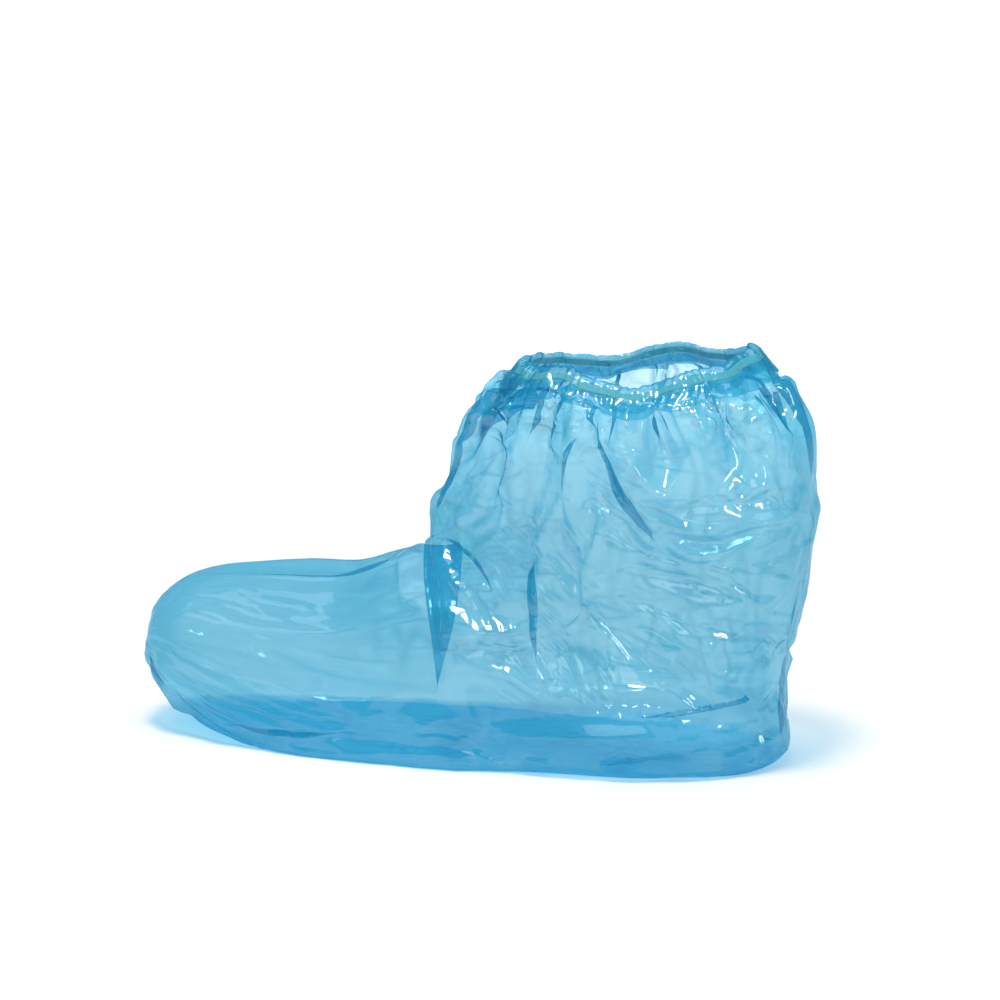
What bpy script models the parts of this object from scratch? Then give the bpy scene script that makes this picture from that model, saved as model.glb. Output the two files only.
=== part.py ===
"""An ankle-high film shoe cover in its worn form.

The toe points to -X, the heel to +X and +Z is up. The origin is on the inner face of
the sole, under the middle of the ankle, and the outer face of the sole is one wall
thickness below it. Sizes in the tables are millimetres.
"""

from collections import namedtuple

import bmesh
import bpy
import numpy as np

MM = 0.001

# Walls and the hem
FILM_WALL = 1.0
CASING_WALL = 1.0
ELASTIC_HEIGHT = 5.0
ELASTIC_THICKNESS = 1.0
PIECE_GAP = 0.3
CASING_OUTER_LEG = 9.0
CASING_INNER_LEG = 7.0
CASING_TOP_ROUND = 0.2

# The hem leans out towards its lower edge, by this much for each millimetre down
HEM_LEAN = 0.7

# The outer skin of the sole lies on this plane
FLOOR_Z = -FILM_WALL

# Points round each section, from the top middle down one side to the low middle
ROOF_POINTS = 3
UPPER_POINTS = 8
LOWER_POINTS = 7
SKIRT_POINTS = 8
SOLE_POINTS = 6
HALF = ROOF_POINTS + UPPER_POINTS + LOWER_POINTS + SKIRT_POINTS + SOLE_POINTS
AROUND = 2 * HALF

# The side turned to the viewer is the slightly fuller one
NEAR, FAR = -1, 1
FAR_FULLNESS = 0.96

# A section is a closed loop in a plane that holds the Y axis. It runs from its top
# point (top_x, top_z) to its low point (low_x, low_z). Half widths are measured from
# the middle, and heights run from 0 at the top point to 1 at the low point: roof is the
# half width of the flat top edge, mid and belly are the side wall, sole is where the
# wall turns under. crease is how sharp the roof's edge is, sway moves the side walls
# towards the heel, and sag lowers them.
Section = namedtuple(
    "Section",
    "name steps top_x top_z low_x low_z roof mid mid_h belly belly_h sole sole_h"
    " crease sway sag",
)

FOOT_SECTIONS = [
    Section("toe_tip", 1, -252.5, 51, -251.5, 39, 6, 9, 0.3, 12, 0.55, 8, 0.93, 0.3, 0, 0),
    Section("toe_front", 1, -248.5, 60, -248, 23, 9, 18, 0.25, 23, 0.55, 16, 0.93, 0.5, 0, 0),
    Section("toe_bend", 1, -241, 68, -240, 17, 11, 25, 0.25, 31, 0.58, 24, 0.95, 0.6, 0, 0),
    Section("toe_cap", 2, -226, 76, -224, 9.5, 12, 32, 0.27, 41, 0.62, 33, 0.97, 0.7, 0, 0),
    Section("toe_box", 2, -204, 79, -203, 3, 14, 37, 0.28, 50, 0.66, 43, 0.98, 0.8, 0, 0),
    Section("vamp_front", 2, -177, 79.5, -178, -2, 17, 40, 0.29, 55, 0.69, 50, 0.985, 0.8, 0, 0),
    Section("vamp_mid", 2, -152, 80.5, -152, -5, 18, 42, 0.29, 60, 0.7, 56, 0.985, 0.8, 2, 0),
    Section("vamp_back", 1, -130, 88, -128, -5, 18, 43, 0.28, 61, 0.68, 59, 0.985, 0.7, 5, 0),
    Section("under_lip", 1, -118, 93.5, -109, -5, 17, 43, 0.27, 60, 0.65, 60, 0.985, 0.6, 8, 0),
]

LIP_SECTION = Section(
    "instep_lip", 1, -108, 101, -88, -5, 12, 46, 0.25, 62, 0.62, 61, 0.985, 0.4, 12, 0
)

ANKLE_SECTIONS = [
    Section("ankle_1", 2, -105, 112, -60, -5, 10, 44, 0.22, 62, 0.56, 57, 0.982, 0.4, 8, 0),
    Section("ankle_2", 2, -103.5, 119, -28, -5, 9, 43, 0.21, 60, 0.52, 53, 0.98, 0.4, 4, 0),
    Section("ankle_3", 2, -99.5, 126, 6, -5, 9, 42, 0.2, 59, 0.5, 52, 0.98, 0.4, 2, 0),
    Section("ankle_4", 1, -96, 132, 38, -5, 9, 41, 0.19, 58, 0.48, 44, 0.975, 0.4, 0, 0),
    Section("heel_low", 1, -94, 137, 62, -4, 9, 41, 0.19, 57, 0.47, 36, 0.965, 0.4, 0, 0),
    Section("heel_turn", 1, -92.5, 141, 72.5, 3, 9, 41, 0.19, 57, 0.47, 31, 0.95, 0.4, 0, 0),
    Section("heel_base", 1, -91, 145.5, 74, 18, 9, 41, 0.19, 57, 0.47, 31, 0.94, 0.4, 0, 1),
    Section("heel_waist", 1, -90, 149.5, 73.5, 45, 9, 41, 0.19, 56, 0.47, 33, 0.93, 0.4, 0, 2),
    Section("heel_mid", 1, -87, 154, 80, 69, 9, 41, 0.18, 56, 0.47, 35, 0.92, 0.4, 0, 3),
    Section("heel_top", 1, -83.5, 159, 82, 97, 9, 41, 0.18, 56, 0.47, 37, 0.92, 0.3, 0, 4),
    Section("shaft_low", 1, -81, 163.5, 83, 127, 9, 41, 0.18, 56, 0.47, 38, 0.91, 0.2, 0, 6),
    Section("shaft_mid", 1, -78, 168, 79, 153, 9, 41, 0.17, 56, 0.47, 38, 0.9, 0.1, 0, 9),
    Section("shaft_top", 1, -75.5, 171.5, 71.5, 174, 9, 39, 0.16, 54, 0.48, 37, 0.89, 0, 0, 14),
]

# The hem's middle line, level with the elastic
HEM_SECTION = Section(
    "hem", 1, -59.5, 188, 56, 198, 11, 35, 0.16, 48, 0.49, 36, 0.86, 0, 0, 0
)
HEM_SIDE_SAG = -6.5

# Rows of the pleat across the instep, from the toe film to the ankle film. Where the
# pleat is open, a row lies behind the lip's edge by behind and under the ankle film by
# under. Towards the sole the pleat closes, and the row lies at flat_behind.
PleatRow = namedtuple("PleatRow", "name behind under flat_behind")
PLEAT_ROWS = [
    PleatRow("toe_film_in_front", -3.5, 6.6, -10.0),
    PleatRow("toe_film_under_lip", 5.0, 6.8, -6.5),
    PleatRow("return_crease", 8.0, 5.4, -3.0),
    PleatRow("return_film", 5.0, 4.0, 0.5),
    PleatRow("lip_inside", 1.2, 3.0, 4.0),
    PleatRow("lip_edge", 0.0, 1.4, 7.5),
    PleatRow("ankle_film", 2.2, 0.0, 11.0),
]
PLEAT_OPEN_TO = 0.50
PLEAT_SHUT_FROM = 0.86

# Creases on the side walls, in the side view: from (x0, z0) to (x1, z1), with the half
# width of the fold and how far it stands out, or in where that is negative.
Crease = namedtuple("Crease", "name side x0 z0 x1 z1 half_width height")
CREASES = [
    Crease("long_fold", NEAR, -18, 186, -22, 135, 9, 4.5),
    Crease("long_fold_fan_front", NEAR, -22, 135, -38, 110, 9, 3.6),
    Crease("long_fold_fan_back", NEAR, -22, 135, -11, 90, 9, 3.0),
    Crease("diagonal_band_top", NEAR, -12, 174, 1, 136, 9, 4.2),
    Crease("diagonal_band_end", NEAR, 1, 136, 17, 116, 9, 3.9),
    Crease("front_double_fold", NEAR, -56, 172, -90, 130, 10, 3.6),
    Crease("front_gather", NEAR, -34, 186, -44, 152, 8, 3.3),
    Crease("vee_front", NEAR, 1, 162, 24, 137, 9, 4.2),
    Crease("vee_back", NEAR, 52, 182, 24, 137, 9, 3.9),
    Crease("sling_front", NEAR, 22, 126, 43, 120, 9, 4.5),
    Crease("sling_back", NEAR, 43, 120, 74, 125, 9, 4.5),
    Crease("sling_pocket", NEAR, 33, 110, 66, 113, 9, -3.6),
    Crease("heel_strip", NEAR, 59, 180, 65, 145, 9, 3.6),
    Crease("second_band", NEAR, -40, 82, -36, 42, 10, 3.3),
    Crease("instep_crescent", NEAR, -64, 52, -34, 40, 9, 3.6),
    Crease("heel_pocket", NEAR, 44, 66, 47, 34, 9, 3.6),
    Crease("heel_tuck", NEAR, 34, 34, 66, 44, 9, -3.3),
    Crease("sole_fold_long", NEAR, -84, 16, 16, 21, 8, 3.3),
    Crease("sole_fold_heel", NEAR, 22, 17, 66, 25, 8, 3.3),
    Crease("far_long_fold", FAR, -26, 188, -34, 112, 10, 4.2),
    Crease("far_middle_fold", FAR, 6, 190, 14, 104, 10, 4.2),
    Crease("far_back_fold", FAR, 40, 194, 56, 130, 10, 3.9),
    Crease("far_sling", FAR, -6, 96, 52, 108, 10, 3.9),
    Crease("far_instep_crescent", FAR, -66, 56, -30, 42, 9, 3.3),
    Crease("far_sole_fold", FAR, -84, 16, 30, 22, 8, 3.3),
]

# The gathers: regular ripples below the hem, deepest a little way down
GATHER_COUNT = 16
GATHER_AT_HEM = 1.3
GATHER_PEAK = 3.2
GATHER_PEAK_BELOW = 24.0
GATHER_END_BELOW = 78.0
GATHER_PHASE = 0.6

# Waves of the hem's edge: the place along X, its half width and how far it rises
HemWave = namedtuple("HemWave", "name side x half_width rise")
HEM_WAVES = [
    HemWave("front_loop", NEAR, -31, 14, 6.0),
    HemWave("middle_dip", NEAR, 10, 14, -4.5),
    HemWave("back_dip", NEAR, 50, 10, -4.0),
    HemWave("far_front_dip", FAR, -30, 16, -3.0),
    HemWave("far_loop", FAR, 4, 16, 4.0),
    HemWave("far_back_dip", FAR, 38, 14, -3.0),
]

# Colours
FILM_COLOUR = (0.10, 0.43, 0.70, 1.0)
HEM_COLOUR = (0.05, 0.36, 0.62, 1.0)
ELASTIC_COLOUR = (0.62, 0.60, 0.34, 1.0)


def ease(value, start, end):
    """0 before start, 1 after end, with a smooth climb between them."""
    t = np.clip((value - start) / (end - start), 0.0, 1.0)
    return t * t * (3 - 2 * t)


def hermite(p0, p1, m0, m1, t):
    """The cubic from p0 to p1 with slopes m0 and m1."""
    a = 2 * t**3 - 3 * t**2 + 1
    b = t**3 - 2 * t**2 + t
    c = -2 * t**3 + 3 * t**2
    d = t**3 - t**2
    return a * p0 + b * m0 + c * p1 + d * m1


def soft_slopes(values):
    """Slopes of a curve through values that never overshoots them."""
    steps = np.diff(values)
    slopes = np.zeros(len(values))
    slopes[0] = steps[0]
    slopes[-1] = steps[-1]
    for i in range(1, len(values) - 1):
        before, after = steps[i - 1], steps[i]
        if before * after > 0:
            slopes[i] = 2 * before * after / (before + after)
    return slopes


def between_sections(sections):
    """The table's sections with the steps between them filled in."""
    columns = np.array([section[2:] for section in sections], dtype=float)
    slopes = np.stack([soft_slopes(column) for column in columns.T], axis=1)
    rows = []
    for i in range(len(sections) - 1):
        for step in range(sections[i].steps):
            t = step / sections[i].steps
            values = hermite(columns[i], columns[i + 1], slopes[i], slopes[i + 1], t)
            rows.append(Section(sections[i].name, 1, *values))
    rows.append(sections[-1])
    return rows


def unit(vector):
    """The direction of a vector."""
    return vector / np.linalg.norm(vector)


def half_outline(row):
    """Half widths and heights of a section, from its top middle to its low middle."""
    length = np.hypot(row.low_x - row.top_x, row.low_z - row.top_z)
    knots = np.array(
        [
            (0.0, 0.0),
            (row.roof, 0.012),
            (row.mid, row.mid_h),
            (row.belly, row.belly_h),
            (row.sole, row.sole_h),
            (0.0, 1.0),
        ]
    )
    knots[:, 1] *= length
    runs = [unit(step) for step in np.diff(knots, axis=0)]
    arrive = [unit(runs[max(k - 1, 0)] + runs[min(k, 4)]) for k in range(6)]
    arrive[0] = np.array([1.0, 0.0])
    arrive[3] = np.array([0.0, 1.0])
    arrive[5] = np.array([-1.0, 0.0])
    leave = list(arrive)
    arrive[1] = unit(arrive[1] + row.crease * (runs[0] - arrive[1]))
    leave[1] = unit(leave[1] + row.crease * (runs[1] - leave[1]))
    counts = (ROOF_POINTS, UPPER_POINTS, LOWER_POINTS, SKIRT_POINTS, SOLE_POINTS)
    points = []
    for k, count in enumerate(counts):
        reach = np.linalg.norm(knots[k + 1] - knots[k])
        for step in range(count):
            t = step / count
            slopes = leave[k] * reach, arrive[k + 1] * reach
            points.append(hermite(knots[k], knots[k + 1], *slopes, t))
    points.append(knots[-1])
    return np.array(points) / (1.0, length)


def section_loop(row):
    """The section's points, down the near side and up the far side."""
    half = half_outline(row)
    near = [(-w, h) for w, h in half]
    far = [(w * FAR_FULLNESS, h) for w, h in half[-2:0:-1]]
    flat = np.array(near + far)
    top = np.array([row.top_x, 0.0, row.top_z])
    low = np.array([row.low_x, 0.0, row.low_z])
    points = top + flat[:, 1:2] * (low - top)
    points[:, 1] = flat[:, 0]
    share = np.abs(flat[:, 0]) / row.belly
    points[:, 0] += row.sway * share**1.5 * np.sqrt(np.clip(1 - flat[:, 1], 0, 1))
    points[:, 2] -= row.sag * share**2
    return points, flat


def moved_in(points, distance):
    """A loop moved towards its inside, within its own plane."""
    ahead = np.roll(points, -1, axis=0) - points
    behind = points - np.roll(points, 1, axis=0)
    middle = points.mean(axis=0)
    normal = np.cross(points - middle, ahead).sum(axis=0)
    normal /= np.linalg.norm(normal)
    edges = ahead / np.linalg.norm(ahead, axis=1, keepdims=True)
    before = behind / np.linalg.norm(behind, axis=1, keepdims=True)
    inward = np.cross(normal, edges + before)
    inward /= np.linalg.norm(inward, axis=1, keepdims=True)
    half_turn = np.sqrt(np.clip((1 + (edges * before).sum(axis=1)) / 2, 0.5, 1.0))
    return points + inward * (np.asarray(distance) / half_turn)[..., None]


def pleat_loops():
    """The rows that make the pleat across the instep."""
    base, flat = section_loop(LIP_SECTION)
    shut = ease(flat[:, 1], PLEAT_OPEN_TO, PLEAT_SHUT_FROM)
    loops = []
    for row in PLEAT_ROWS:
        loop = moved_in(base, row.under * (1 - shut))
        loop[:, 0] += row.behind * (1 - shut) + row.flat_behind * shut
        loops.append(loop)
    return loops


def hem_line():
    """The middle line of the hem, with its ripples and waves."""
    points, flat = section_loop(HEM_SECTION)
    side = np.sign(flat[:, 0])
    share = np.abs(flat[:, 0]) / HEM_SECTION.belly
    points[:, 2] += HEM_SIDE_SAG * share**2
    for wave in HEM_WAVES:
        near = np.exp(-(((points[:, 0] - wave.x) / wave.half_width) ** 2))
        points[:, 2] += wave.rise * near * (side == wave.side) * share
    turn = 2 * np.pi * np.arange(AROUND) / AROUND
    ripple = GATHER_AT_HEM * np.cos(GATHER_COUNT * turn + GATHER_PHASE)
    return beside(points, ripple)


def beside(line, distance):
    """A level loop moved outwards by distance, in plan only."""
    ahead = np.roll(line, -1, axis=0) - line
    behind = line - np.roll(line, 1, axis=0)
    ahead[:, 2] = 0
    behind[:, 2] = 0
    ahead /= np.linalg.norm(ahead, axis=1, keepdims=True)
    behind /= np.linalg.norm(behind, axis=1, keepdims=True)
    mean = ahead + behind
    mean /= np.linalg.norm(mean, axis=1, keepdims=True)
    half_turn = np.clip((ahead * mean).sum(axis=1), 0.6, 1.0)
    outward = np.stack([-mean[:, 1], mean[:, 0], np.zeros(len(line))], axis=1)
    if (outward * (line - line.mean(axis=0))).sum() < 0:
        outward = -outward
    return line + outward * (np.asarray(distance) / half_turn)[..., None]


def hem_loop(hem, out, rise):
    """A loop beside the hem's middle line, out from it and rise above it."""
    slant = np.sqrt(1 + HEM_LEAN**2)
    loop = beside(hem, out * slant - rise * HEM_LEAN)
    loop[:, 2] += rise
    return loop


def surface_normals(grid):
    """The outward direction at each point of the grid of loops."""
    along = np.gradient(grid, axis=0)
    around = np.roll(grid, -1, axis=1) - np.roll(grid, 1, axis=1)
    normals = np.cross(along, around)
    normals /= np.maximum(np.linalg.norm(normals, axis=2, keepdims=True), 1e-9)
    middles = grid.mean(axis=1, keepdims=True)
    if (normals * (grid - middles)).sum() < 0:
        normals = -normals
    return normals


def crease_heights(grid):
    """How far the creases move each point of the grid."""
    heights = np.zeros(grid.shape[:2])
    side = np.sign(grid[:, :, 1])
    for crease in CREASES:
        start = np.array([crease.x0, crease.z0])
        run = np.array([crease.x1, crease.z1]) - start
        place = grid[:, :, [0, 2]] - start
        share = np.clip((place @ run) / (run @ run), 0.0, 1.0)
        away = np.linalg.norm(place - share[..., None] * run, axis=2)
        shape = np.clip(1 - away / crease.half_width, 0.0, 1.0)
        heights += crease.height * shape * (side == crease.side)
    return heights


def gather_heights(grid, hem):
    """How far the gathers below the hem move each point of the grid."""
    below = hem[None, :, 2] - grid[:, :, 2]
    rise = GATHER_AT_HEM + (GATHER_PEAK - GATHER_AT_HEM) * ease(
        below, 4.0, GATHER_PEAK_BELOW
    )
    fall = 1 - ease(below, GATHER_PEAK_BELOW, GATHER_END_BELOW)
    turn = 2 * np.pi * np.arange(AROUND) / AROUND
    return rise * fall * np.cos(GATHER_COUNT * turn + GATHER_PHASE)[None, :]


def film_loops():
    """All the loops of the film, from the toe's tip to inside the hem."""
    hem = hem_line()
    foot = [section_loop(row)[0] for row in between_sections(FOOT_SECTIONS)]
    ankle_rows = between_sections(ANKLE_SECTIONS)
    ankle = np.array([section_loop(row)[0] for row in ankle_rows])
    normals = surface_normals(ankle)
    width = np.abs(ankle[:, :, 1]) / 40.0
    wall = ease(width, 0.25, 0.8)
    low = ease(ankle[:, :, 2], 6.0, 22.0)
    lift = crease_heights(ankle) * wall * low + gather_heights(ankle, hem)
    first = ease(np.arange(len(ankle)), -0.5, 2.0)[:, None]
    ankle = ankle + normals * (lift * first)[..., None]
    top = hem_loop(hem, FILM_WALL / 2, -ELASTIC_HEIGHT / 2 - PIECE_GAP)
    entry = hem_loop(hem, FILM_WALL / 2, -CASING_OUTER_LEG - 1.5)
    loops = foot + pleat_loops() + list(ankle) + [entry, top]
    for loop in loops:
        loop[:, 2] = np.maximum(loop[:, 2], FLOOR_Z)
    return loops


def new_object(name, mesh, material):
    """An object of the mesh in the part's collection."""
    obj = bpy.data.objects.new(name, mesh)
    mesh.materials.append(material)
    PARTS.objects.link(obj)
    mesh.shade_smooth()
    return obj


def lofted_mesh(name, loops, closed_tip):
    """A mesh through closed loops of equal length, with a fan over the first one."""
    bm = bmesh.new()
    rings = [[bm.verts.new(point * MM) for point in loop] for loop in loops]
    for first, second in zip(rings, rings[1:]):
        for i in range(len(first)):
            j = (i + 1) % len(first)
            bm.faces.new((first[i], first[j], second[j], second[i]))
    if closed_tip:
        tip = bm.verts.new(loops[0].mean(axis=0) * MM)
        for i in range(len(rings[0])):
            bm.faces.new((rings[0][(i + 1) % len(rings[0])], rings[0][i], tip))
    mesh = bpy.data.meshes.new(name)
    bm.normal_update()
    bm.to_mesh(mesh)
    bm.free()
    return mesh


def add_wall(obj, thickness, offset):
    """Give an open surface its wall."""
    wall = obj.modifiers.new("wall", "SOLIDIFY")
    wall.thickness = thickness * MM
    wall.offset = offset
    wall.use_even_offset = True
    wall.use_quality_normals = True
    return wall


def plastic(name, colour, roughness):
    """A Principled material for the sub-part."""
    material = bpy.data.materials.new(name)
    material.use_nodes = True
    shader = material.node_tree.nodes["Principled BSDF"]
    shader.inputs["Base Color"].default_value = colour
    shader.inputs["Roughness"].default_value = roughness
    shader.inputs["Metallic"].default_value = 0.0
    return material


def build_film_bag():
    """The boot-shaped bag of film."""
    mesh = lofted_mesh("film_bag", film_loops(), closed_tip=True)
    obj = new_object("film_bag", mesh, plastic("film", FILM_COLOUR, 0.25))
    add_wall(obj, FILM_WALL, -1.0)


def build_hem_casing():
    """The gathered band folded over the elastic."""
    hem = hem_line()
    inside = ELASTIC_THICKNESS / 2 + PIECE_GAP
    roof = ELASTIC_HEIGHT / 2 + PIECE_GAP
    profile = [
        (inside, -CASING_OUTER_LEG),
        (inside, roof - CASING_TOP_ROUND),
        (inside - CASING_TOP_ROUND, roof),
        (-inside + CASING_TOP_ROUND, roof),
        (-inside, roof - CASING_TOP_ROUND),
        (-inside, -CASING_INNER_LEG),
    ]
    loops = []
    for out, rise in profile:
        loops.append(hem_loop(hem, out, rise))
    mesh = lofted_mesh("hem_casing", loops, closed_tip=False)
    obj = new_object("hem_casing", mesh, plastic("hem", HEM_COLOUR, 0.3))
    add_wall(obj, CASING_WALL, 1.0)


def build_elastic_band():
    """The flat elastic in the hem."""
    hem = hem_line()
    loops = []
    for rise in (-ELASTIC_HEIGHT / 2, ELASTIC_HEIGHT / 2):
        loops.append(hem_loop(hem, ELASTIC_THICKNESS / 2, rise))
    mesh = lofted_mesh("elastic_band", loops, closed_tip=False)
    obj = new_object("elastic_band", mesh, plastic("elastic", ELASTIC_COLOUR, 0.7))
    add_wall(obj, ELASTIC_THICKNESS, -1.0)


for old in list(bpy.data.objects):
    bpy.data.objects.remove(old, do_unlink=True)

PARTS = bpy.data.collections.new("shoe_cover")
bpy.context.scene.collection.children.link(PARTS)

build_film_bag()
build_hem_casing()
build_elastic_band()
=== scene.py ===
from collections import namedtuple

import bmesh
import bpy
import numpy as np
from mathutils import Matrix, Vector


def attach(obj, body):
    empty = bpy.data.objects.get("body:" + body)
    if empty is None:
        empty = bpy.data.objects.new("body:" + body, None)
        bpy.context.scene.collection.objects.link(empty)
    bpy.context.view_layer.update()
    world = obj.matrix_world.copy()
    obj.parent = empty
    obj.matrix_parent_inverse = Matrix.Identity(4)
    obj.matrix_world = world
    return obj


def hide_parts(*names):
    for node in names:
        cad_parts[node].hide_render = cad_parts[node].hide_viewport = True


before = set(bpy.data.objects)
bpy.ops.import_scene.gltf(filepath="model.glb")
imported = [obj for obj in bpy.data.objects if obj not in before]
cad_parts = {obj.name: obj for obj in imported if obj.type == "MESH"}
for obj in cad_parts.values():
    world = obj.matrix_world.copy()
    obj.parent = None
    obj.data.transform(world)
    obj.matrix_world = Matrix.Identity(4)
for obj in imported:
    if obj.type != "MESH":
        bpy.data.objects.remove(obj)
scene = bpy.context.scene
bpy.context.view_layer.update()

MM = 0.001

# The film's looks: the tint of the light through it, the colour and haze of its body, how
# much denser it is at its edge and on its crease lines, and the slant at which its tint
# stops deepening
FILM_TINT = (0.59, 0.83, 0.92)
FILM_BODY = (0.0, 0.42, 0.60)
FILM_HAZE = 0.22
HEM_BODY = (0.02, 0.44, 0.66)
HEM_HAZE = 0.36
FILM_IOR = 2.6
EDGE_DEPTH = 0.16
LINE_DEPTH = 0.20
STEEPEST = 0.62

# Patterns in the film's surface: the squeeze along x, y and z, and the scale
UPRIGHT_FACETS = ((1, 1, 0.3), 46)
LEVEL_FACETS = ((0.22, 1, 1), 70)
RIPPLES = ((1, 1, 0.25), 260)
BEAD_SCALE = 560
# Where the noise folds into facets, how wide its lines are, and each pattern's relief
FACET_FOLD = 0.14
UPRIGHT_LINE, LEVEL_LINE = 0.08, 0.06
FACET_RELIEF, LINE_RELIEF, RIPPLE_RELIEF, BEAD_RELIEF = 2.4, 0.3, 0.12, 0.02
# Facets run level up to the first height and upright from the second, in metres
LEVEL_TO, UPRIGHT_FROM = 0.015, 0.06

# Settling: the film's spare length as a share, and what the gathers add to it round the
# hem; the mesh's strides with the rounds of each; and the threads' stiffness
SPARE = 0.04
GATHERED_SPARE = 0.10
PASSES = ((8, 300), (4, 600), (2, 700), (1, 300))
STRETCH, SKEW, BEND = 0.45, 0.25, 0.05
# How firmly the film keeps its place, from 0 to 1, and how many times firmer on the toe
HOLD = 0.0003
TOE_FIRMER = 3
SHINE_HOLD, SOLE_HOLD, PLEAT_HOLD, HEM_HOLD = 0.05, 0.2, 0.3, 0.5

# The studio: the world's light, the floor's height, and the camera in metres and degrees
WORLD_LIGHT = 0.15
FLOOR_HEIGHT = -0.001
CAMERA_PLACE = (0.46756, -1.87955, 0.51786)
CAMERA_AROUND, CAMERA_ABOVE = 16.0, 11.5
CAMERA_LENS = 146.88

# Sizes in millimetres, and half the seen elastic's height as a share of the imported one's
ELASTIC_HEIGHT, ELASTIC_THICKNESS = 5.0, 1.0
ELASTIC_SHARE = 0.32
PIECE_GAP = 0.3
CASING_OUTER_LEG, CASING_INNER_LEG = 9.0, 7.0
HEM_LEAN = 0.7
# The film's lowest height, just above the floor
LOWEST = -0.7

# Points down one side of a section, on its roof, upper wall, lower wall, skirt and sole,
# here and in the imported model
SIDE_POINTS = (12, 34, 32, 34, 20)
PACKED_POINTS = (3, 8, 7, 8, 6)
HALF = sum(SIDE_POINTS)
AROUND = 2 * HALF

# Rows of the mesh for each step of a table, rows and rounds of smoothing above the pleat,
# rows below the hem that folds leave clear, and the columns and pleats of the casing
FOOT_FINENESS, PLEAT_FINENESS, ANKLE_FINENESS, HEM_FINENESS = 7, 5, 9, 9
ANKLE_ROWS = 240
ROW_SMOOTHING = 60
HEM_CLEAR = 13
CASING_AROUND = 720
CASING_PLEATS = 150

NEAR, FAR = -1, 1
FAR_FULLNESS = 0.96

Section = namedtuple(
    "Section",
    "name steps top_x top_z low_x low_z roof mid mid_h belly belly_h sole sole_h"
    " crease sway sag",
    defaults=(0, 0),
)

FOOT_SECTIONS = [Section(*row) for row in [
    ("toe_tip", 1, -252.5, 51, -251.5, 39, 6, 9, 0.3, 12, 0.55, 8, 0.93, 0.3),
    ("toe_front", 1, -248.5, 60, -248, 23, 9, 18, 0.25, 23, 0.55, 16, 0.93, 0.5),
    ("toe_bend", 1, -241, 68, -240, 17, 11, 25, 0.25, 31, 0.58, 24, 0.95, 0.6),
    ("toe_cap", 2, -226, 76, -224, 9.5, 12, 32, 0.27, 41, 0.62, 33, 0.97, 0.7),
    ("toe_box", 2, -204, 79, -203, 3, 14, 37, 0.28, 50, 0.66, 43, 0.98, 0.8),
    ("vamp_front", 2, -177, 79.5, -178, -2, 17, 40, 0.29, 55, 0.69, 50, 0.985, 0.8),
    ("vamp_mid", 2, -152, 80.5, -152, -5, 18, 42, 0.29, 60, 0.7, 56, 0.985, 0.8, 2, 0),
    ("vamp_back", 1, -130, 88, -128, -5, 18, 43, 0.28, 61, 0.68, 59, 0.985, 0.7, 5, 0),
    ("under_lip", 1, -118, 93.5, -109, -5, 17, 43, 0.27, 60, 0.65, 60, 0.985, 0.6, 8, 0),
]]

LIP_SECTION = Section(
    "instep_lip", 1, -108, 101, -88, -5, 12, 46, 0.25, 62, 0.62, 61, 0.985, 0.4, 12, 0
)

ANKLE_SECTIONS = [Section(*row) for row in [
    ("ankle_1", 2, -105, 112, -60, -5, 10, 44, 0.22, 62, 0.56, 57, 0.982, 0.4, 8, 0),
    ("ankle_2", 2, -103.5, 119, -28, -5, 9, 43, 0.21, 60, 0.52, 53, 0.98, 0.4, 4, 0),
    ("ankle_3", 2, -99.5, 126, 6, -5, 9, 42, 0.2, 59, 0.5, 52, 0.98, 0.4, 2, 0),
    ("ankle_4", 1, -96, 132, 38, -5, 9, 41, 0.19, 58, 0.48, 44, 0.975, 0.4),
    ("heel_low", 1, -94, 137, 62, -4, 9, 41, 0.19, 57, 0.47, 36, 0.965, 0.4),
    ("heel_turn", 1, -92.5, 141, 72.5, 3, 9, 41, 0.19, 57, 0.47, 31, 0.95, 0.4),
    ("heel_base", 1, -91, 145.5, 74, 18, 9, 41, 0.19, 57, 0.47, 31, 0.94, 0.4, 0, 1),
    ("heel_waist", 1, -90, 149.5, 73.5, 45, 9, 41, 0.19, 56, 0.47, 33, 0.93, 0.4, 0, 2),
    ("heel_mid", 1, -87, 154, 80, 69, 9, 41, 0.18, 56, 0.47, 35, 0.92, 0.4, 0, 3),
    ("heel_top", 1, -83.5, 159, 82, 97, 9, 41, 0.18, 56, 0.47, 37, 0.92, 0.3, 0, 4),
    ("shaft_low", 1, -81, 163.5, 83, 127, 9, 41, 0.18, 56, 0.47, 38, 0.91, 0.2, 0, 6),
    ("shaft_mid", 1, -78, 168, 79, 153, 9, 41, 0.17, 56, 0.47, 38, 0.9, 0.1, 0, 9),
    ("shaft_top", 1, -75.5, 171.5, 71.5, 174, 9, 39, 0.16, 54, 0.48, 37, 0.89, 0, 0, 14),
]]

HEM_SECTION = Section(
    "hem", 1, -59.5, 188, 56, 198, 11, 35, 0.16, 48, 0.49, 36, 0.86, 0
)
HEM_SIDE_SAG = -6.5

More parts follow.
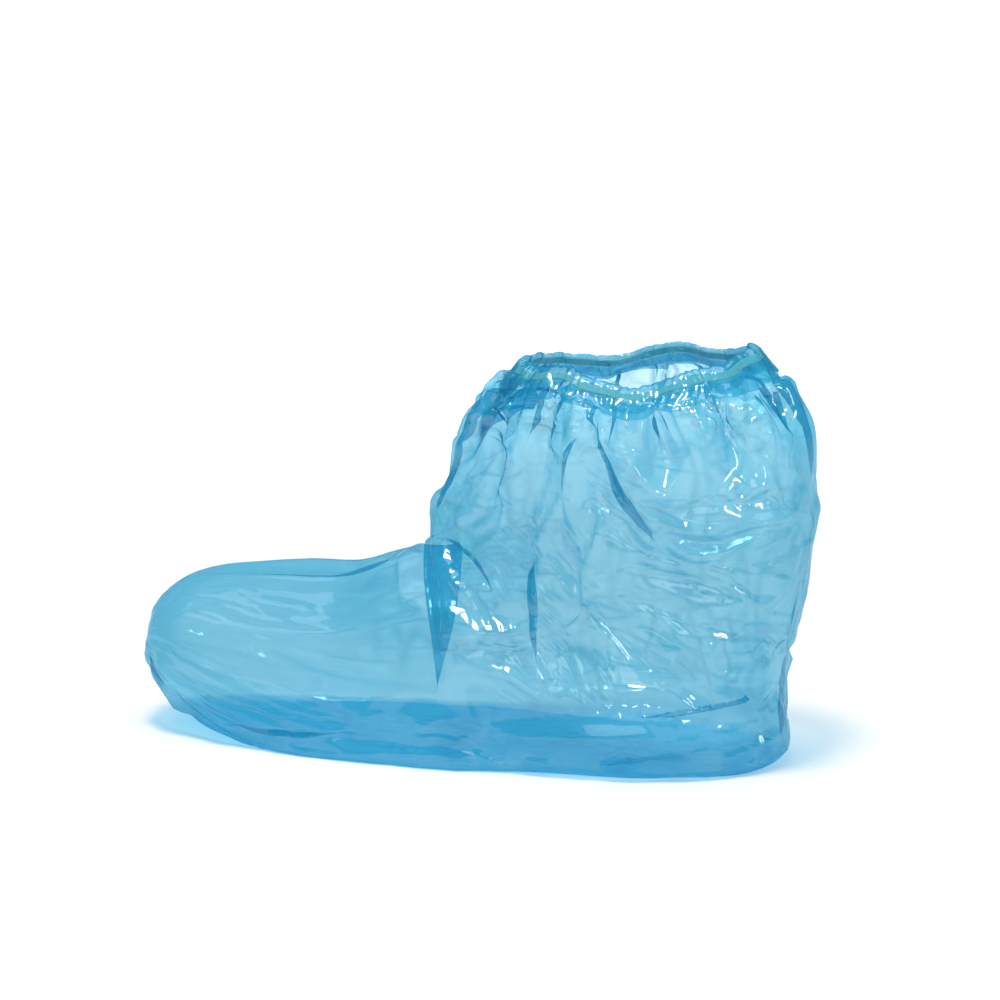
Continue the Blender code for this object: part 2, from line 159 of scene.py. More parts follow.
# Rows of the pleat across the instep: how far each lies behind the lip's edge and under
# the ankle film, and where it lies once the pleat has closed towards the sole
PleatRow = namedtuple("PleatRow", "name behind under flat_behind")
PLEAT_ROWS = [PleatRow(*row) for row in [
    ("toe_film_in_front", -4.0, 6.6, -10.0),
    ("toe_film_under_lip", 8.0, 6.4, -6.5),
    ("toe_film_deep", 14.5, 5.8, -4.5),
    ("return_crease", 18.5, 4.6, -3.0),
    ("return_film", 13.5, 3.7, -0.5),
    ("lip_inside", 2.0, 2.6, 4.0),
    ("lip_edge", 0.0, 1.3, 7.5),
    ("ankle_film", 3.0, 0.0, 11.0),
]]
PLEAT_SPAN = PLEAT_FINENESS * (len(PLEAT_ROWS) + 1)
PLEAT_FULL_TO = 0.02
PLEAT_SHUT_FROM = 0.88
FAR_PLEAT_SHUT_FROM = 0.75
FAR_PLEAT_SHALLOW = 0.45

# Folds on the side walls, each a line of (x, z) points in the side view, with its half
# width and how far it stands out, or in where that is negative
Fold = namedtuple("Fold", "side name half_width height line")
FOLDS = [Fold(NEAR, *row) for row in [
    ("long_fold", 6, 4.2, [(-18, 188), (-20, 156), (-22, 135), (-30, 125), (-39, 111)]),
    ("long_fold_front", 6, 2.2, [(-24, 180), (-27, 158), (-31, 140), (-41, 122)]),
    ("fan_back", 7, 4.2, [(-22, 136), (-17, 114), (-11, 90)]),
    ("diagonal_front", 5, 4.0, [(-13, 174), (-6, 149), (1, 136), (13, 121), (18, 115)]),
    ("diagonal_back", 6, 3.8, [(-3, 158), (5, 143), (11, 134), (18, 125)]),
    ("front_double", 6, 3.8, [(-54, 172), (-66, 158), (-76, 146), (-92, 128)]),
    ("front_strip", 6, 3.4, [(-34, 186), (-38, 171), (-45, 151)]),
    ("vee_front", 6, 5.6, [(-1, 163), (12, 149), (24, 137)]),
    ("vee_back", 6, 5.2, [(54, 182), (40, 164), (31, 149), (24, 137)]),
    ("vee_hollow", 11, -3.6, [(27, 152), (22, 162), (24, 176)]),
    ("sling_rim", 5, 5.2, [(19, 128), (31, 122), (43, 120), (53, 121), (64, 124), (77, 126)]),
    ("sling_low", 6, 4.6, [(22, 124), (31, 115), (38, 108), (50, 110), (68, 119)]),
    ("sling_hollow", 7, -4.0, [(34, 116), (48, 115), (62, 120)]),
    ("heel_strip", 7, 4.4, [(59, 182), (57, 161), (65, 143)]),
    ("heel_facet", 8, 2.8, [(50, 104), (62, 110), (76, 116)]),
    ("second_band", 8, 3.0, [(-39, 86), (-38, 64), (-33, 40)]),
    ("crescent", 5, 4.2, [(-68, 50), (-50, 48), (-34, 39)]),
    ("instep_pucker", 6, 4.2, [(-84, 24), (-76, 36), (-62, 31)]),
    ("heel_pocket", 6, 4.0, [(44, 64), (47, 40), (58, 38)]),
    ("heel_fold_high", 7, 3.0, [(38, 31), (59, 35), (78, 41)]),
    ("heel_fold_low", 6, 2.8, [(32, 18), (59, 23), (78, 29)]),
    ("sole_fold_high", 8, 2.8, [(-106, 11), (-75, 17), (-25, 19), (18, 21)]),
    ("heel_fold_top", 6, 3.4, [(48, 52), (62, 50), (80, 58)]),
    ("heel_fold_middle", 6, 2.0, [(20, 26), (44, 25), (64, 29), (82, 36)]),
    ("heel_fold_base", 5, 3.0, [(40, 9), (60, 12), (74, 18)]),
    ("sole_fold_middle", 6, 2.0, [(-60, 12), (-20, 11), (20, 15), (50, 20)]),
    ("toe_edge_tip", 7, 3.0, [(-250, 36), (-238, 25), (-226, 10)]),
    ("toe_edge_front", 7, 3.4, [(-236, 34), (-222, 19), (-196, 9)]),
    ("toe_edge_under", 6, 2.6, [(-222, 6), (-204, 3), (-180, 2)]),
    ("toe_edge_back", 8, 3.2, [(-205, 22), (-176, 13), (-140, 10)]),
    ("toe_pucker", 7, 2.8, [(-146, 33), (-128, 25), (-112, 15)]),
    ("toe_side", 10, 1.6, [(-228, 58), (-200, 50), (-168, 52), (-130, 60)]),
    ("sole_fold_low", 5, 3.4, [(-87, 4), (-27, 6), (23, 13), (62, 20)]),
]] + [Fold(FAR, *row) for row in [
    ("far_long", 8, 4.4, [(-24, 188), (-28, 150), (-36, 112)]),
    ("far_middle", 8, 4.2, [(6, 188), (9, 150), (18, 112), (14, 96)]),
    ("far_back", 8, 4.0, [(40, 190), (47, 160), (60, 130)]),
    ("far_front", 8, 3.8, [(-52, 176), (-66, 150), (-88, 124)]),
    ("far_sling", 8, 4.2, [(-8, 100), (18, 92), (46, 98), (70, 110)]),
    ("far_crescent", 8, 3.6, [(-70, 58), (-48, 54), (-30, 42)]),
    ("far_heel", 7, 3.4, [(30, 34), (54, 40), (76, 48)]),
    ("far_sole_high", 7, 3.4, [(-100, 14), (-50, 20), (20, 20)]),
    ("far_sole_low", 6, 2.8, [(-60, 6), (0, 9), (58, 20)]),
]]

# Tucks, where the film laps over itself along a line: the reach to each side that is drawn
# in, how far it laps, how proud the upper layer stands, which side is the upper one, and
# the line's points as (x, z, share of the lap)
Tuck = namedtuple("Tuck", "name side reach lap proud flip points")
TUCKS = [Tuck(*row) for row in [
    ("long_tuck", NEAR, 11, 2.3, 1.6, 1,
     [(-12, 190, 0.9), (-17, 168, 0.8), (-22, 140, 0.65), (-28, 118, 0)]),
    ("diagonal_tuck", NEAR, 13, 2.3, 2.0, 1,
     [(-11, 186, 0.6), (-6, 160, 0.7), (5, 138, 0.95), (16, 122, 0.8), (23, 113, 0)]),
    ("front_tuck", NEAR, 10, 2.2, 1.6, -1,
     [(-50, 180, 0.7), (-63, 160, 0.9), (-75, 146, 0.7), (-92, 126, 0)]),
    ("gather_tuck", NEAR, 8, 2.2, 1.5, 1, [(-33, 190, 0.9), (-38, 168, 0.8), (-47, 146, 0)]),
    ("second_band", NEAR, 15, 2.3, 1.8, 1,
     [(-42, 108, 0.3), (-41, 92, 0.9), (-38, 64, 0.7), (-32, 36, 0)]),
    ("sole_tuck_front", NEAR, 7, 2.2, 1.8, 1,
     [(-214, 12, 0), (-180, 9, 0.9), (-150, 11, 0.9), (-118, 16, 0)]),
    ("sole_tuck_back", NEAR, 7, 2.2, 1.6, -1,
     [(-36, 7, 0), (0, 8, 0.9), (30, 12, 0.9), (62, 20, 0)]),
    ("heel_lens_high", NEAR, 8, 2.2, 1.8, 1,
     [(0, 29, 0), (28, 32, 0.85), (58, 38, 0.85), (84, 52, 0)]),
    ("far_long_tuck", FAR, 10, 2.2, 1.6, 1, [(-20, 188, 0.9), (-27, 150, 0.7), (-36, 114, 0)]),
    ("far_back_tuck", FAR, 10, 2.2, 1.6, -1, [(52, 188, 0.9), (58, 160, 0.7), (66, 130, 0)]),
]]
# A row takes part in a tuck when it comes this near its line, and within so many columns
TUCK_NEAR = 2.5
TUCK_COLUMNS = 18

# Gathers below the hem: their number, their depth at the hem and at its greatest, how far
# below the hem that is and where they end, and the depth of the fine ones
GATHER_COUNT = 16
GATHER_AT_HEM = 1.3
GATHER_PEAK = 3.4
GATHER_PEAK_BELOW = 24.0
GATHER_END_BELOW = 78.0
GATHER_PHASE = 0.6
FINE_GATHER = 2.0

# Sharp pleats that hang from the hem: how many crests and valleys, their lengths and
# height, and how many columns they stray
PLEATS_AT_HEM = 76
PLEAT_LENGTHS = (16, 26, 40, 60, 90)
HEM_PLEAT_HEIGHT = 1.9
PLEAT_DRIFT = 9

# Creased facets: cells round the film, length and slant of a cell, height, share of it on
# the toe, on the walls and along the sole, seed
CREASES = [
    (22, 48, 0.5, 2.3, 0.16, 1.0, 0.7, 61),
    (40, 26, -0.5, 1.3, 0.12, 1.0, 0.5, 62),
    (84, 20, 0.5, 0.8, 0.15, 1.0, 0.2, 63),
    (60, 80, 0.3, 1.7, 0.10, 0.0, 1.0, 64),
]

# Places on the near side where the film is drawn smooth: middle x and z, reach in x and z,
# and how much of its creases they lose
SMOOTH_PLACES = [
    (24, 154, 28, 22), (48, 120, 38, 14), (-62, 40, 32, 18), (56, 46, 20, 14), (0, 22, 64, 14)
]
SMOOTHED = 0.93

# Waves of the hem: the side, the middle, the half width and the rise of each
HemWave = namedtuple("HemWave", "name side x half_width rise")
HEM_WAVES = [HemWave(*row) for row in [
    ("front_loop", NEAR, -31, 14, 6.0),
    ("middle_dip", NEAR, 10, 14, -4.5),
    ("back_dip", NEAR, 50, 10, -4.0),
    ("far_front_dip", FAR, -30, 16, -3.0),
    ("far_loop", FAR, 4, 16, 4.0),
    ("far_back_dip", FAR, 38, 14, -3.0),
]]


def ease(value, start, end):
    """0 before start, 1 after end, with a smooth climb between them."""
    t = np.clip((value - start) / (end - start), 0.0, 1.0)
    return t * t * (3 - 2 * t)


def hermite(p0, p1, m0, m1, t):
    """The cubic from p0 to p1 with slopes m0 and m1."""
    a = 2 * t**3 - 3 * t**2 + 1
    b = t**3 - 2 * t**2 + t
    c = -2 * t**3 + 3 * t**2
    d = t**3 - t**2
    return a * p0 + b * m0 + c * p1 + d * m1


def soft_slopes(values):
    """Slopes of a curve through values that never overshoots them."""
    steps = np.diff(values)
    slopes = np.zeros(len(values))
    slopes[0], slopes[-1] = steps[0], steps[-1]
    for i in range(1, len(values) - 1):
        before, after = steps[i - 1], steps[i]
        if before * after > 0:
            slopes[i] = 2 * before * after / (before + after)
    return slopes


def between_sections(sections, fineness):
    """The table's sections with many rows between them."""
    columns = np.array([section[2:] for section in sections], dtype=float)
    slopes = np.stack([soft_slopes(column) for column in columns.T], axis=1)
    rows = []
    for i in range(len(sections) - 1):
        steps = sections[i].steps * fineness
        for step in range(steps):
            values = hermite(columns[i], columns[i + 1], slopes[i], slopes[i + 1], step / steps)
            rows.append(Section(sections[i].name, 1, *values))
    rows.append(sections[-1])
    return rows


def unit(vector):
    """The direction of a vector."""
    return vector / np.linalg.norm(vector)


def units(vectors):
    """The direction of each of many vectors."""
    return vectors / np.maximum(np.linalg.norm(vectors, axis=-1, keepdims=True), 1e-9)


def half_outline(row):
    """Half widths and heights of a section, from its top middle to its low middle."""
    length = np.hypot(row.low_x - row.top_x, row.low_z - row.top_z)
    walls = (row.mid, row.mid_h), (row.belly, row.belly_h), (row.sole, row.sole_h)
    knots = np.array([(0.0, 0.0), (row.roof, 0.012), *walls, (0.0, 1.0)])
    knots[:, 1] *= length
    runs = [unit(step) for step in np.diff(knots, axis=0)]
    arrive = [unit(runs[max(k - 1, 0)] + runs[min(k, 4)]) for k in range(6)]
    arrive[0] = np.array([1.0, 0.0])
    arrive[3] = np.array([0.0, 1.0])
    arrive[5] = np.array([-1.0, 0.0])
    leave = list(arrive)
    arrive[1] = unit(arrive[1] + row.crease * (runs[0] - arrive[1]))
    leave[1] = unit(leave[1] + row.crease * (runs[1] - leave[1]))
    points = []
    for k, count in enumerate(SIDE_POINTS):
        reach = np.linalg.norm(knots[k + 1] - knots[k])
        for step in range(count):
            slopes = leave[k] * reach, arrive[k + 1] * reach
            points.append(hermite(knots[k], knots[k + 1], *slopes, step / count))
    points.append(knots[-1])
    return np.array(points) / (1.0, length)


def section_loop(row):
    """The section's points, down the near side and up the far side."""
    half = half_outline(row)
    near = [(-w, h) for w, h in half]
    far = [(w * FAR_FULLNESS, h) for w, h in half[-2:0:-1]]
    flat = np.array(near + far)
    top = np.array([row.top_x, 0.0, row.top_z])
    low = np.array([row.low_x, 0.0, row.low_z])
    points = top + flat[:, 1:2] * (low - top)
    points[:, 1] = flat[:, 0]
    share = np.abs(flat[:, 0]) / row.belly
    points[:, 0] += row.sway * share**1.5 * np.sqrt(np.clip(1 - flat[:, 1], 0, 1))
    points[:, 2] -= row.sag * share**2
    return points, flat


def moved_in(points, distance):
    """A loop moved towards its inside, within its own plane."""
    ahead = np.roll(points, -1, axis=0) - points
    behind = points - np.roll(points, 1, axis=0)
    middle = points.mean(axis=0)
    normal = unit(np.cross(points - middle, ahead).sum(axis=0))
    edges, before = units(ahead), units(behind)
    inward = units(np.cross(normal, edges + before))
    half_turn = np.sqrt(np.clip((1 + (edges * before).sum(axis=1)) / 2, 0.5, 1.0))
    return points + inward * (np.asarray(distance) / half_turn)[..., None]


def pleat_loops():
    """The rows that make the pleat across the instep."""
    base, flat = section_loop(LIP_SECTION)
    shut_from = np.where(flat[:, 0] > 0, FAR_PLEAT_SHUT_FROM, PLEAT_SHUT_FROM)
    shut = ease(flat[:, 1], PLEAT_FULL_TO, shut_from)
    shallow = FAR_PLEAT_SHALLOW * ease(flat[:, 0], -10, 20)
    loops = []
    for row in PLEAT_ROWS:
        loop = moved_in(base, row.under * (1 - shut))
        behind = row.behind + (row.flat_behind - row.behind) * shallow
        loop[:, 0] += behind * (1 - shut) + row.flat_behind * shut
        loops.append(loop)
    return loops


def smooth_between(loops, fineness, tension):
    """Rows on smooth curves through the loops, without the first and last loop."""
    loops = np.array(loops)
    slopes = np.gradient(loops, axis=0) * tension
    rows = []
    for i in range(1, len(loops) - 2):
        for step in range(fineness):
            t = step / fineness
            rows.append(hermite(loops[i], loops[i + 1], slopes[i], slopes[i + 1], t))
    return rows


def beside(line, distance):
    """A level loop moved outwards by distance, in plan only."""
    ahead = np.roll(line, -1, axis=0) - line
    behind = line - np.roll(line, 1, axis=0)
    ahead[:, 2] = 0
    behind[:, 2] = 0
    ahead, behind = units(ahead), units(behind)
    mean = units(ahead + behind)
    half_turn = np.clip((ahead * mean).sum(axis=1), 0.6, 1.0)
    outward = np.stack([-mean[:, 1], mean[:, 0], np.zeros(len(line))], axis=1)
    if (outward * (line - line.mean(axis=0))).sum() < 0:
        outward = -outward
    return line + outward * (np.asarray(distance) / half_turn)[..., None]


def hem_line():
    """The middle line of the hem, with its ripples and waves."""
    points, flat = section_loop(HEM_SECTION)
    side = np.sign(flat[:, 0])
    share = np.abs(flat[:, 0]) / HEM_SECTION.belly
    points[:, 2] += HEM_SIDE_SAG * share**2
    for wave in HEM_WAVES:
        near = np.exp(-(((points[:, 0] - wave.x) / wave.half_width) ** 2))
        points[:, 2] += wave.rise * near * (side == wave.side) * share
    ripple = GATHER_AT_HEM * np.cos(GATHER_COUNT * around_turn() + GATHER_PHASE)
    return beside(points, ripple)


def around_turn():
    """The turn of each column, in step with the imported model's columns."""
    place = [0.0]
    for packed, count in zip(PACKED_POINTS, SIDE_POINTS):
        place += list(place[-1] + packed * np.arange(1, count + 1) / count)
    half = np.array(place) / sum(PACKED_POINTS)
    return np.pi * np.concatenate([half, 2 - half[-2:0:-1]])


def hem_loop(hem, out, rise):
    """A loop beside the hem's middle line, out from it and rise above it."""
    slant = np.sqrt(1 + HEM_LEAN**2)
    loop = beside(hem, out * slant - rise * HEM_LEAN)
    loop[:, 2] += rise
    return loop


def surface_normals(grid):
    """The outward direction at each point of the grid of loops."""
    along = np.gradient(grid, axis=0)
    around = np.roll(grid, -1, axis=1) - np.roll(grid, 1, axis=1)
    normals = units(np.cross(along, around))
    middles = grid.mean(axis=1, keepdims=True)
    if (normals * (grid - middles)).sum() < 0:
        normals = -normals
    return normals


def read_at(places, known, values):
    """The values between known places, for x, y and z."""
    return np.stack([np.interp(places, known, values[:, k]) for k in range(3)], axis=1)


def from_line(line, flat):
    """How far points lie from a line of points, the same with its side as a sign, and how
    far along the line; and the place of each point of the line."""
    line = np.array(line, dtype=float)
    runs = np.diff(line, axis=0)
    lengths = np.linalg.norm(runs, axis=1)
    starts = np.concatenate([[0], np.cumsum(lengths)])
    away = np.full(flat.shape[:2], 1e9)
    signed = np.zeros(flat.shape[:2])
    place = np.zeros(flat.shape[:2])
    for corner, run, length, start in zip(line, runs, lengths, starts):
        share = np.clip(((flat - corner) @ run) / length**2, 0, 1)
        gap = flat - corner - share[..., None] * run
        dist = np.linalg.norm(gap, axis=2)
        side = np.sign(run[0] * gap[..., 1] - run[1] * gap[..., 0])
        nearer = dist < away
        away = np.where(nearer, dist, away)
        signed = np.where(nearer, side * dist, signed)
        place = np.where(nearer, start + share * length, place)
    return away, signed, place, starts


def fold_heights(grid):
    """How far the folds move each point of the grid."""
    out = np.zeros(grid.shape[:2])
    hollow = np.zeros(grid.shape[:2])
    side = np.sign(grid[:, :, 1])
    for fold in FOLDS:
        away = from_line(fold.line, grid[:, :, [0, 2]])[0]
        shape = np.clip(1 - away / fold.half_width, 0.0, 1.0) ** 1.1
        height = fold.height * shape * (side == fold.side)
        out = np.maximum(out, height)
        hollow = np.minimum(hollow, height)
    return out + hollow


def fine_gathers(count):
    """The tight gathers at the hem, from -1 to 1, one every four columns or so."""
    rng = np.random.default_rng(31)
    marks = np.arange(0, count, 4)
    places = np.concatenate([marks, marks + 2]) + rng.uniform(-0.5, 0.5, 2 * len(marks))
    places = np.sort(places)
    heights = np.where(np.arange(len(places)) % 2 == 0, 1, -1) * rng.uniform(0.7, 1.0, len(places))
    columns = (np.arange(count) - places[0]) % count + places[0]
    return np.interp(columns, np.append(places, places[0] + count), np.append(heights, heights[0]))


def gather_heights(grid, hem):
    """How far the gathers below the hem move each point of the grid."""
    below = hem[None, :, 2] - grid[:, :, 2]
    rise = GATHER_AT_HEM + (GATHER_PEAK - GATHER_AT_HEM) * ease(below, 4.0, GATHER_PEAK_BELOW)
    fall = 1 - ease(below, GATHER_PEAK_BELOW, GATHER_END_BELOW)
    wide = rise * fall * np.cos(GATHER_COUNT * around_turn() + GATHER_PHASE)[None, :]
    fine = sharp_noise(grid.shape[:2], (12, 40), 11)
    fine = fine * ease(below, 3, 14) * (1 - ease(below, 16, 52))
    return wide + FINE_GATHER * fine


def zigzag(count, marks, seed, least):
    """Crests and valleys in turn at uneven places round a loop of count points."""
    rng = np.random.default_rng(seed)
    places = (np.arange(marks) + rng.uniform(-0.3, 0.3, marks)) * count / marks
    heights = np.where(np.arange(marks) % 2 == 0, 1, -1) * rng.uniform(least, 1.0, marks)
    return places, heights


def hem_pleats(shape, below):
    """Sharp pleats that hang from the hem, each one a different length."""
    rows, cols = shape
    places, heights = zigzag(cols, PLEATS_AT_HEM, 17, 0.4)
    lengths = np.random.default_rng(18).choice(PLEAT_LENGTHS, PLEATS_AT_HEM)
    across = np.arange(cols)[None, :] + PLEAT_DRIFT * value_noise(shape, (9, 18), 19) * below / 50
    across = (across - places[0]) % cols + places[0]
    right = np.searchsorted(places, across, side="right")
    left = right - 1
    ends = np.append(places, places[0] + cols)
    share = (across - ends[left]) / (ends[right] - ends[left])
    right = right % PLEATS_AT_HEM
    start = ease(below, 3, 11)
    left_height = heights[left] * np.clip(1 - below / lengths[left], 0, 1) ** 0.8
    right_height = heights[right] * np.clip(1 - below / lengths[right], 0, 1) ** 0.8
    return start * ((1 - share) * left_height + share * right_height)


def crease_net(across, down, cells, slant, seed):
    """Random heights from -1 to 1 joined by flat triangles, which meet in sharp creases."""
    heights = np.random.default_rng(seed).uniform(-1, 1, (64, cells))
    across = across + slant * down
    i, j = np.floor(down).astype(int), np.floor(across).astype(int)
    b, a = down - i, across - j
    i, j = i + 4, j % cells
    here, beside_it = heights[i, j], heights[i, (j + 1) % cells]
    below, across_it = heights[i + 1, j], heights[i + 1, (j + 1) % cells]
    first = here + a * (beside_it - here) + b * (below - here)
    second = across_it + (1 - a) * (below - across_it) + (1 - b) * (beside_it - across_it)
    return np.where(a + b < 1, first, second)


def away_from_shine(smooth):
    """1 over most of the film, less on the places where it is drawn smooth."""
    x, z = smooth[:, :, 0], smooth[:, :, 2]
    amount = np.ones(x.shape)
    for middle_x, middle_z, wide, high in SMOOTH_PLACES:
        off = np.hypot((x - middle_x) / wide, (z - middle_z) / high)
        amount *= 1 - SMOOTHED * (1 - ease(off, 0.6, 1.2)) * (smooth[:, :, 1] < 0)
    return amount


def crease_heights(smooth, first):
    """How far the creased flat facets of the film stand out or in."""
    rows, cols = smooth.shape[:2]
    z = smooth[:, :, 2]
    steps = np.linalg.norm(np.diff(smooth[::-1], axis=0), axis=2)
    down = np.concatenate([np.zeros((1, cols)), np.cumsum(steps, axis=0)])[::-1]
    bend = value_noise((rows, cols), (16, 12), 51)
    slip = value_noise((rows, cols), (16, 12), 52)
    turn = np.arange(cols)[None, :] / cols
    index = (np.arange(rows) - first)[:, None]
    hem = rows - first
    ankle = ease(index, 2, 26) * (1 - ease(index, hem - HEM_CLEAR, hem - 4))
    toe = np.where(index < 0, ease(-index, PLEAT_SPAN, PLEAT_SPAN + 14), 0)
    toe = toe * (1 - ease(-index, first - 6, first - 1))
    low = 1 - ease(z, 22, 40)
    far = ease(smooth[:, :, 1], 5, 30)
    heights = np.zeros((rows, cols))
    for cells, length, slant, height, on_toe, on_wall, on_sole, seed in CREASES:
        net = crease_net(cells * turn + 0.4 * bend, down / length + 0.4 * slip, cells, slant, seed)
        share = ankle * (on_wall + (on_sole - on_wall) * low)
        share = share + on_toe * toe * (1 + 4 * low + 1.5 * far)
        share = np.maximum(share, 0.6 * on_sole * (1 - ease(z, 12, 28)))
        heights += height * (net - 0.35) * share
    return heights * (0.03 + 0.97 * ease(z, 2, 12)) * away_from_shine(smooth)


def roof_heights(smooth):
    """The two ridges along the toe's roof, and the shallow hollow between them."""
    x, y, z = smooth[:, :, 0], np.abs(smooth[:, :, 1]), smooth[:, :, 2]
    along = ease(x, -236, -214) * (1 - ease(x, -136, -116)) * ease(z, 55, 68)
    ridge = np.clip(1 - np.abs(y - 17) / 6, 0, 1) ** 1.3
    return along * (2.4 * ridge - 2.2 * (1 - ease(y, 3, 15)))


def tucked(smooth, folded, fade):
    """The film drawn in along each tuck until it laps over itself."""
    rows, cols = smooth.shape[:2]
    normals = surface_normals(smooth)
    shift = np.zeros((rows, cols))
    proud = np.zeros((rows, cols))
    for tuck in TUCKS:
        line = [point[:2] for point in tuck.points]
        shares = [point[2] for point in tuck.points]
        span = np.arange(1, HALF) if tuck.side == NEAR else np.arange(HALF + 1, cols)
        drawn = tuck.reach * 1.3
        all_away, all_signed, place, starts = from_line(line, smooth[:, span][:, :, [0, 2]])
        for r in range(rows):
            away, signed = all_away[r], all_signed[r]
            nearest = int(np.argmin(away))
            if away[nearest] > TUCK_NEAR:
                continue
            low = high = nearest
            first = max(0, nearest - TUCK_COLUMNS)
            while low > first and abs(signed[low - 1]) < drawn:
                low -= 1
            last = min(len(span) - 1, nearest + TUCK_COLUMNS)
            while high < last and abs(signed[high + 1]) < drawn:
                high += 1
            if high - low < 5:
                continue
            part = slice(low, high + 1)
            d = signed[part]
            if d[-1] < d[0]:
                d = -d
            if np.any(np.diff(d) < 0.05):
                continue
            strength = np.interp(place[r, nearest], starts, shares) * fade[r, span[nearest]]
            w = tuck.reach * (0.55 + 0.45 * strength)
            inside = np.abs(d) < w
            q = tuck.flip * d
            moved = q - strength * tuck.lap * w / np.pi * np.sin(np.pi * q / w)
            target = np.where(inside, tuck.flip * moved, d)
            shift[r, span[part]] += np.interp(target, d, np.arange(len(d))) - np.arange(len(d))
            lift = ease(q, -w, -0.35 * w) - ease(q, -0.35 * w, 0.35 * w)
            proud[r, span[part]] += np.where(inside, tuck.proud * strength * lift, 0)
    closed = np.concatenate([folded, folded[:, :1]], axis=1)
    at = (np.arange(cols) + shift) % cols
    out = np.stack([read_at(at[r], np.arange(cols + 1), closed[r]) for r in range(rows)])
    return out + normals * proud[..., None]


def value_noise(shape, cells, seed):
    """Smooth noise from -1 to 1 over the grid, periodic round the columns."""
    rows, cols = shape
    rng = np.random.default_rng(seed)
    down, across = cells
    coarse = rng.uniform(-1, 1, (down + 2, across))
    r = np.linspace(0, down, rows, endpoint=False)
    c = np.arange(cols) * across / cols
    r0, c0 = r.astype(int), c.astype(int)
    rt, ct = ease(r - r0, 0, 1)[:, None], ease(c - c0, 0, 1)[None, :]
    c1 = (c0 + 1) % across
    top = coarse[r0][:, c0] * (1 - ct) + coarse[r0][:, c1] * ct
    low = coarse[r0 + 1][:, c0] * (1 - ct) + coarse[r0 + 1][:, c1] * ct
    return top * (1 - rt) + low * rt


def sharp_noise(shape, cells, seed):
    """Noise from 0 to 1 with sharp crests."""
    return (1 - np.abs(value_noise(shape, cells, seed))) ** 2


def thread_steps(film, axis, reach=1, other=0):
    """The step from each point to the other end of its thread, round, down or slanted."""
    if axis == 1:
        return np.roll(film, -reach, axis=1) - film
    ahead = np.roll(film, -other, axis=1) if other else film
    return ahead[reach:] - film[:-reach]


def lengths_of(steps):
    """The length of each step."""
    return np.sqrt((steps**2).sum(axis=2))


def pull_together(film, length, stiffness, axis, reach, other=0):
    """Move the ends of each thread of film towards its own length."""
    step = thread_steps(film, axis, reach, other)
    now = np.maximum(lengths_of(step), 1e-6)
    push = (0.5 * stiffness * (1 - length / now))[..., None] * step
    if axis == 1:
        film += push - np.roll(push, reach, axis=1)
    else:
        film[:-reach] += push
        film[reach:] -= np.roll(push, other, axis=1) if other else push


def laid_over(moved, old_rows, old_cols, new_rows, new_cols):
    """The shifts of a coarser mesh of the film, laid over a finer one."""
    closed = np.concatenate([moved, moved[:, :1]], axis=1)
    tall = [read_at(new_rows, old_rows, closed[:, c]) for c in range(len(old_cols))]
    return np.stack([read_at(new_cols, old_cols, row) for row in np.stack(tall, axis=1)])


def settle(goal, along, around, hold):
    """Film with more length than its form, crumpled until the threads fit.

    along and around are the spare lengths as shares, hold is how firmly each point
    keeps its place."""
    rows, cols = goal.shape[:2]
    coarser = None
    for stride, rounds in PASSES:
        pick = np.unique(np.append(np.arange(0, rows, stride), rows - 1))
        columns = np.arange(0, cols, stride)
        g = goal[pick][:, ::stride].astype(np.float32)
        down = along[pick][:, ::stride]
        across = around[pick][:, ::stride]
        h = hold[pick][:, ::stride].astype(np.float32)[..., None]
        draw, stir = (5 + stride, 0.25) if coarser else (3, 0.8)
        noise = value_noise(g.shape[:2], (g.shape[0] // 3, g.shape[1] // 3), draw)
        film = g + laid_over(*coarser, pick, columns) if coarser else g
        free = 1 - np.minimum(h[..., 0] * 4, 1)
        film = film + surface_normals(g) * (noise * stir * free)[..., None]
        film = film.astype(np.float32)
        threads = []
        for axis, other in ((1, 0), (0, 0), (0, 1), (0, -1)):
            spare = across
            if axis == 0:
                spare = (down[:-1] + across[:-1]) / 2 if other else down[:-1]
            length = lengths_of(thread_steps(g, axis, 1, other)) * (1 + spare)
            threads.append((axis, other, length.astype(np.float32)))
        round_it = 2 * lengths_of(thread_steps(g, 1)) * (1 + across)
        steps = lengths_of(thread_steps(g, 0))
        down_it = (steps[1:] + steps[:-1]) * (1 + down[1:-1])
        bends = [(1, round_it.astype(np.float32)), (0, down_it.astype(np.float32))]
        for turn in range(rounds):
            for axis, other, length in threads:
                pull_together(film, length, SKEW if other else STRETCH, axis, 1, other)
            for axis, length in bends:
                pull_together(film, length, BEND, axis, 2)
            film += h * (g - film)
        coarser = (film - g, pick, np.append(columns, columns[-1] + stride))
    return film.astype(float)


def even_rows(loops, count):
    """Rows spaced evenly along each column, with the first and last loop kept."""
    loops = np.array(loops)
    steps = np.linalg.norm(np.diff(loops, axis=0), axis=2)
    place = np.concatenate([np.zeros((1, loops.shape[1])), np.cumsum(steps, axis=0)])
    even = np.linspace(0, 1, count)[:, None] * place[-1]
    columns = range(loops.shape[1])
    return np.stack([read_at(even[:, c], place[:, c], loops[:, c]) for c in columns], axis=1)


